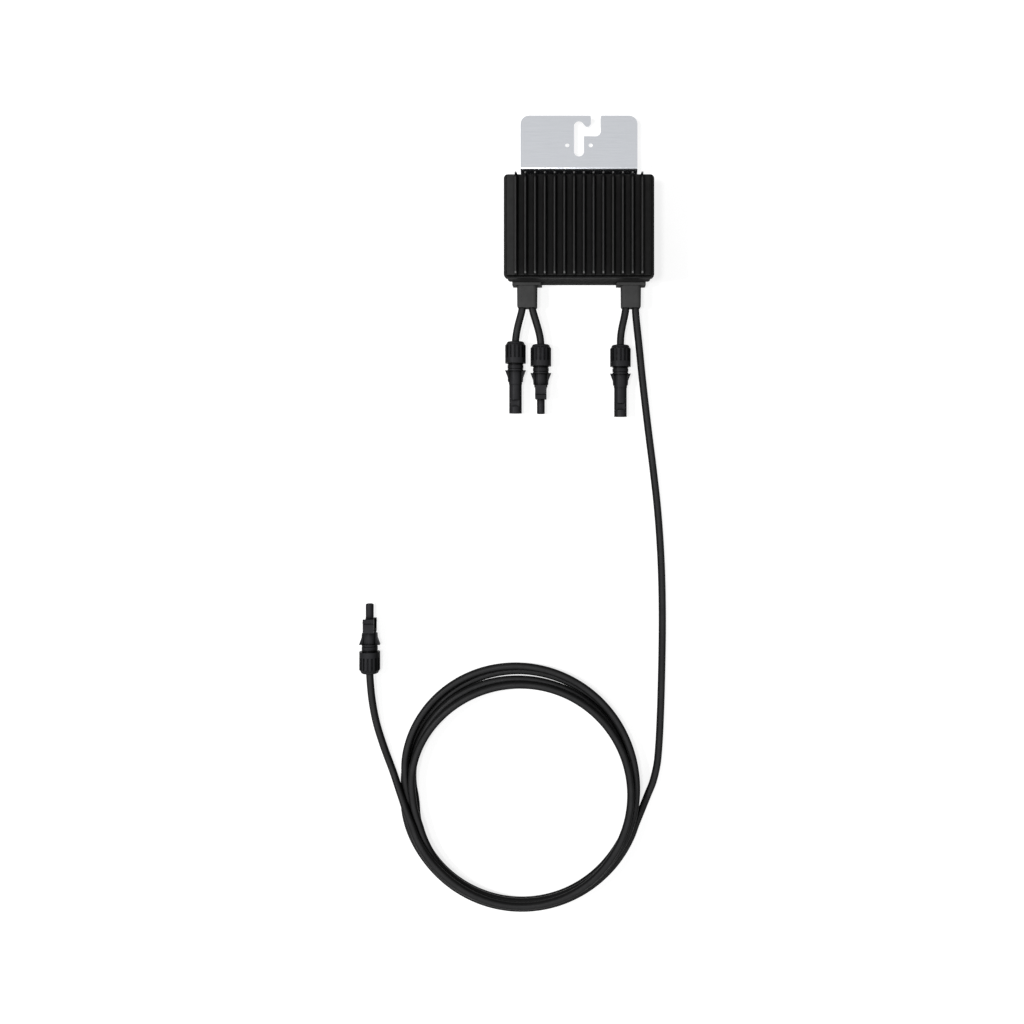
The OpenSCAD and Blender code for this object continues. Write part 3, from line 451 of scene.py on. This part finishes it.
# Painted highlights: pale tips at both ends of the fins
from_front = cast.spread(cast.along("Y"), 1, 0, fin_front + TIP_FULL, fin_front + TIP_FROM)
from_back = cast.spread(cast.along("Y"), 0, 1, fin_back - TIP_FROM, fin_back - TIP_FULL)
tip_highlight = cast.math("MAXIMUM", from_front, from_back)
high = cast.spread(cast.along("Z"), 0, 1, fin_top - TIP_DEEP, fin_top - TIP_HIGH)
cast.light_or_shade_over(cast.math("MULTIPLY", tip_highlight, high), grey(0.16))
cast.rough(cast.noise(700, 2), low=0.34, high=0.44)
cast.bump(cast.noise(2300, 2), distance=0.00003, strength=0.25)
cast.bump(cast.noise(420, 2), distance=0.00003, strength=0.1)


def coat(name, tint, rough, bump, corner=None, side_shade=None, metallic=0.0, specular=0.5):
    """A Paint of the usual layers. A noise is a scale, a detail and perhaps a stretch. tint and rough
    are a noise and the two ends that it runs between, and bump is a noise, a distance and a strength.
    corner holds what Paint.colour takes for its painted shade in inner corners, and the argument after it
    holds what Paint's painted shade on sides takes."""
    paint = Paint(name, metallic, specular)
    noise, low, high = tint
    paint.colour(paint.noise(*noise), low, high, **(corner or {}))
    if side_shade:
        paint.sides_shaded(**side_shade)
    noise, low, high = rough
    paint.rough(paint.noise(*noise), low, high)
    noise, distance, strength = bump
    paint.bump(paint.noise(*noise), distance, strength)
    return paint


# Painted shade: in these finishes corner darkens inner corners and the settings after it darken faces
# turned to the side
shell = coat(
    "housing_black", specular=0.004,
    tint=((120, 3), grey(0.029), grey(0.035)),
    corner=dict(reach=0.003, deep=0.1, start=0.5, end=0.95),
    side_shade=dict(deep=0.8, start=0.3, end=0.85),
    rough=((900, 2), 0.55, 0.67),
    bump=((3200, 2), 0.00003, 0.3),
)
gland = coat(
    "gland_grey", specular=0.012,
    tint=((140, 4), grey(0.055), grey(0.067)),
    corner=dict(reach=0.002, deep=0.2),
    side_shade=dict(deep=0.5, start=0.3, end=0.9),
    rough=((800, 2), 0.5, 0.6),
    bump=((3000, 2), 0.00003, 0.3),
)
jacket = coat(
    "cable_jacket", specular=0.02,
    tint=((90, 3), grey(0.030, blue=1.03), grey(0.037, blue=1.03)),
    corner=dict(reach=0.002, deep=0.1),
    side_shade=dict(deep=0.25, start=0.72, end=1.0),
    rough=((500, 3), 0.26, 0.33),
    bump=((1500, 3), 0.00003, 0.2),
)
satin = coat(
    "connector_black", specular=0.02,
    tint=((180, 3), grey(0.026, blue=1.08), grey(0.032, blue=1.08)),
    corner=dict(reach=0.005, deep=0.08, start=0.65, end=0.97),
    side_shade=dict(deep=0.3, start=0.6, end=1.0),
    rough=((900, 2), 0.28, 0.36),
    bump=((3600, 2), 0.00003, 0.25),
)
sheet = coat(
    "bare_aluminium", metallic=1.0,
    tint=((60, 4, (1, 14, 14)), (0.535, 0.55, 0.58), (0.56, 0.575, 0.605)),
    rough=((140, 4, (1, 20, 20)), 0.2, 0.25),
    bump=((220, 3, (1, 22, 22)), 0.000006, 0.05),
)
steel = coat(
    "screw_steel", metallic=1.0,
    tint=((900, 3), grey(0.50, blue=1.03), grey(0.62, blue=1.03)),
    rough=((1600, 2), 0.28, 0.42),
    bump=((2600, 2), 0.00002, 0.4),
)
rubber = coat(
    "rubber_black", specular=0.08,
    tint=((200, 3), grey(0.007), grey(0.011)),
    rough=((900, 2), 0.6, 0.75),
    bump=((2600, 2), 0.00004, 0.5),
)
tin = coat(
    "contact_tin", metallic=1.0,
    tint=((700, 3), (0.62, 0.60, 0.55), (0.74, 0.72, 0.67)),
    rough=((1500, 2), 0.22, 0.36),
    bump=((2600, 2, (1, 0.2, 1)), 0.00001, 0.4),
)
board = coat(
    "board_green",
    tint=((500, 4), (0.012, 0.075, 0.035), (0.02, 0.11, 0.05)),
    rough=((800, 2), 0.3, 0.42),
    bump=((1400, 2), 0.00003, 0.4),
)
core = coat(
    "ferrite_grey",
    tint=((1200, 4), grey(0.03), grey(0.05)),
    rough=((900, 2), 0.5, 0.68),
    bump=((2400, 3), 0.00004, 0.5),
)
winding = coat(
    "winding_copper", metallic=1.0,
    tint=((300, 3, (1, 1, 6)), (0.42, 0.16, 0.06), (0.60, 0.28, 0.12)),
    rough=((500, 2, (1, 1, 6)), 0.24, 0.36),
    bump=((260, 1, (0.2, 0.2, 4)), 0.0003, 0.6),
)
case = coat(
    "capacitor_yellow",
    tint=((220, 3), (0.42, 0.34, 0.11), (0.50, 0.41, 0.15)),
    rough=((900, 2), 0.3, 0.4),
    bump=((1800, 2), 0.00003, 0.4),
)
chip = coat(
    "chip_black", specular=0.4,
    tint=((500, 3), grey(0.010), grey(0.016)),
    rough=((1500, 2), 0.5, 0.62),
    bump=((4200, 2), 0.00003, 0.5),
)
pad = coat(
    "pad_grey", specular=0.3,
    tint=((900, 4), (0.22, 0.24, 0.27), (0.29, 0.31, 0.34)),
    rough=((700, 2), 0.7, 0.85),
    bump=((1800, 3), 0.00006, 0.5),
)

finishes = {
    "heat_sink_cover": cast, "rear_housing": shell, "cover_gasket": rubber,
    "mounting_bracket": sheet, "cover_screws": steel, "bracket_screws": steel,
    "board_screws": steel, "input_gland": gland, "output_gland": gland, "circuit_board": board,
    "lead_terminals": tin, "inductor_cores": core, "inductor_windings": winding,
    "film_capacitors": case, "power_transistors": chip, "control_chips": chip, "thermal_pad": pad,
}
# By the last word of a connector piece's name. The leads' own nodes take the jacket
endings = {"nut": satin, "housing": satin, "seal": rubber, "ring": rubber, "contact": tin}
for name, obj in nodes.items():
    paint = finishes.get(name) or endings.get(name.rsplit("_", 1)[-1]) or jacket
    obj.data.materials.clear()
    obj.data.materials.append(paint.mat)
for obj in (lead_a, lead_b, lead_c, lead_d):
    obj.data.materials.append(jacket.mat)


# Floor, background and light
FLOOR_GLOW = 0.78
FLOOR_GREY = 0.42
FLOOR_HALF = 8.0
FLOOR_Z = -0.0003
AMBIENT = 0.2


def light_path_share(tree):
    """1 for what the camera, a reflection or glass sees, and 0 for light on its way to a surface."""
    rays = tree.nodes.new("ShaderNodeLightPath")
    total = rays.outputs["Is Camera Ray"]
    for other in ("Is Glossy Ray", "Is Transmission Ray"):
        most = tree.nodes.new("ShaderNodeMath")
        most.operation = "MAXIMUM"
        tree.links.new(total, most.inputs[0])
        tree.links.new(rays.outputs[other], most.inputs[1])
        total = most.outputs[0]
    return total


floor_mat = bpy.data.materials.new("floor_pale")
floor_mat.use_nodes = True
tree = floor_mat.node_tree
tree.nodes.clear()
out = tree.nodes.new("ShaderNodeOutputMaterial")
both = tree.nodes.new("ShaderNodeAddShader")
matt = tree.nodes.new("ShaderNodeBsdfDiffuse")
matt.inputs["Color"].default_value = (*grey(FLOOR_GREY), 1)
glow = tree.nodes.new("ShaderNodeEmission")
scaled = tree.nodes.new("ShaderNodeMath")
scaled.operation = "MULTIPLY"
scaled.inputs[1].default_value = FLOOR_GLOW
tree.links.new(light_path_share(tree), scaled.inputs[0])
tree.links.new(scaled.outputs[0], glow.inputs["Strength"])
tree.links.new(matt.outputs[0], both.inputs[0])
tree.links.new(glow.outputs[0], both.inputs[1])
tree.links.new(both.outputs[0], out.inputs["Surface"])

floor_mesh = bpy.data.meshes.new("floor")
corners = [(x * FLOOR_HALF, y * FLOOR_HALF, 0) for x, y in ((-1, -1), (1, -1), (1, 1), (-1, 1))]
floor_mesh.from_pydata(corners, [], [(0, 1, 2, 3)])
floor_mesh.materials.append(floor_mat)
floor = bpy.data.objects.new("floor", floor_mesh)
floor.location = (0, CAMERA_Y, FLOOR_Z)
scene.collection.objects.link(floor)

world = bpy.data.worlds.new("studio")
scene.world = world
world.use_nodes = True
tree = world.node_tree
back = tree.nodes["Background"]
back.inputs["Color"].default_value = (*WHITE, 1)
level = tree.nodes.new("ShaderNodeMapRange")
level.inputs["To Min"].default_value = AMBIENT
level.inputs["To Max"].default_value = 1.0
tree.links.new(light_path_share(tree), level.inputs["Value"])
tree.links.new(level.outputs["Result"], back.inputs["Strength"])

TARGET = Vector((-0.02, -0.22, 0.0))


def lamp(name, place, size, watts):
    """A round lamp turned to the target."""
    data = bpy.data.lights.new(name, "AREA")
    data.shape = "DISK"
    data.size = size
    data.energy = watts
    obj = bpy.data.objects.new(name, data)
    obj.location = place
    obj.rotation_euler = (TARGET - Vector(place)).to_track_quat("-Z", "Y").to_euler()
    scene.collection.objects.link(obj)


lamp("key", (-0.9, -0.15, 1.2), size=0.22, watts=12.5)
lamp("top", (-0.27, -0.25, 1.5), size=0.2, watts=6.5)
lamp("fill_front", (0.9, -1.7, 0.6), size=0.9, watts=6.0)
lamp("fill_back", (-0.7, 1.5, 0.6), size=0.9, watts=6.0)
